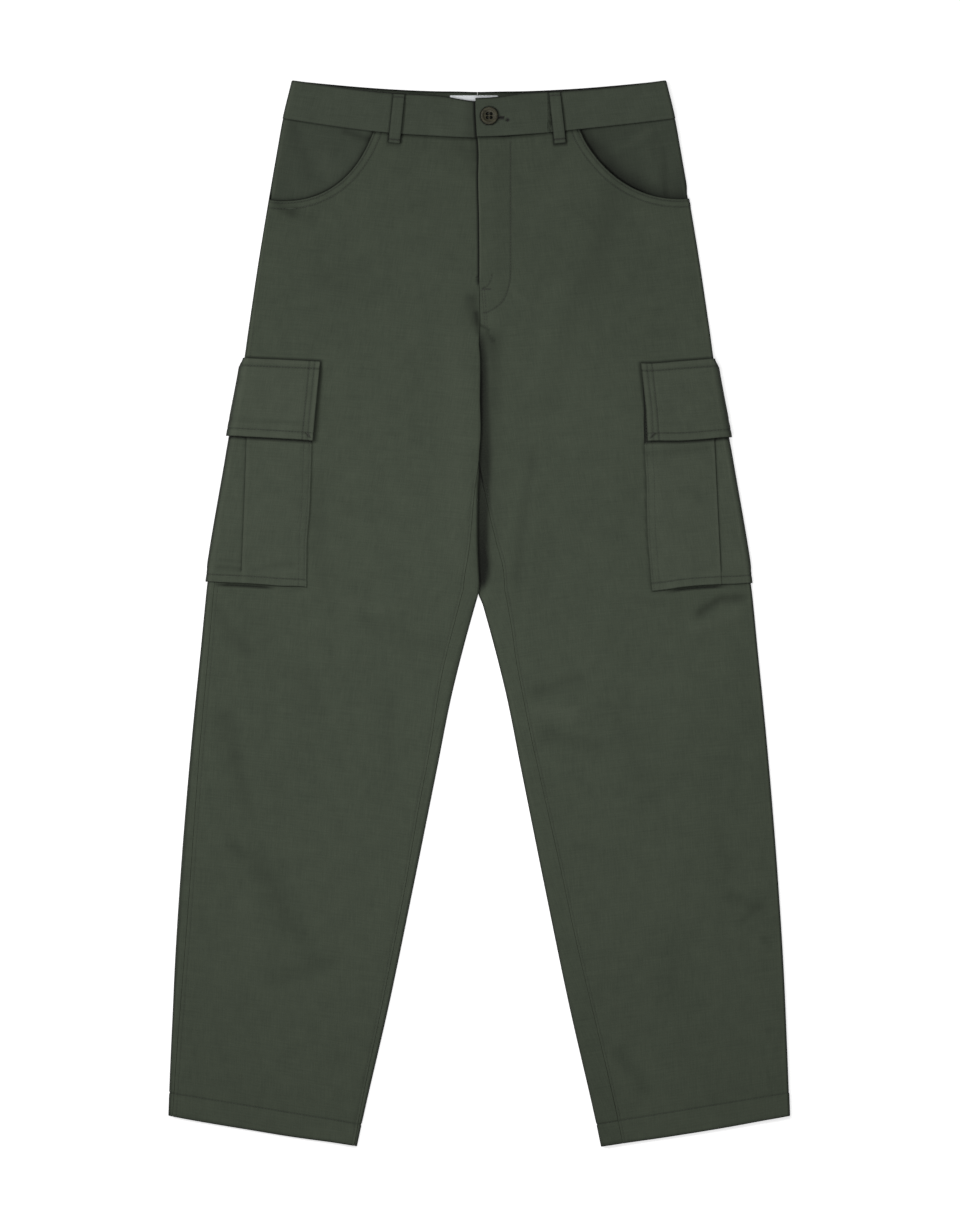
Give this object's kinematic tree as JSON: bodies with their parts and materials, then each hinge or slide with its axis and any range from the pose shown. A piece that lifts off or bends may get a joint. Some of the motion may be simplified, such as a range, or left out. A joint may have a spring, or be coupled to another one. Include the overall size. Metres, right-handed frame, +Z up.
{
  "type": "cargo pants",
  "caption": "Olive twill cargo pants laid flat, with scooped front pockets, pleated thigh pockets under flaps, a contoured waistband with belt loops and a buttoned fly",
  "frame": {"origin": "on the surface that the trousers lie on, under the middle of their outline", "axes": "+X to the wearer's left, +Y from the hems to the waist, +Z up from the surface, out of the front"},
  "size_m": [0.6348, 1.0871, 0.0156],
  "materials": {
    "twill": "washed cotton twill, dark grey-olive, matt",
    "button": "moulded four-hole button, dark brown-olive, dull",
    "label": "plain woven off-white tape, blank"
  },
  "bodies": {
    "root": {"front_left": "twill", "front_right": "twill", "back_left": "twill", "back_right": "twill", "hip_facing_left": "twill", "hip_facing_right": "twill", "waistband_left": "twill", "waistband_right": "twill", "cargo_pocket_left": "twill", "cargo_pocket_right": "twill", "cargo_flap_left": "twill", "cargo_flap_right": "twill", "belt_loop_front_left": "twill", "belt_loop_front_right": "twill", "belt_loop_back_left": "twill", "belt_loop_back_right": "twill", "belt_loop_back_centre": "twill", "waist_button": "button", "neck_label": "label"}
  },
  "joints": []
}
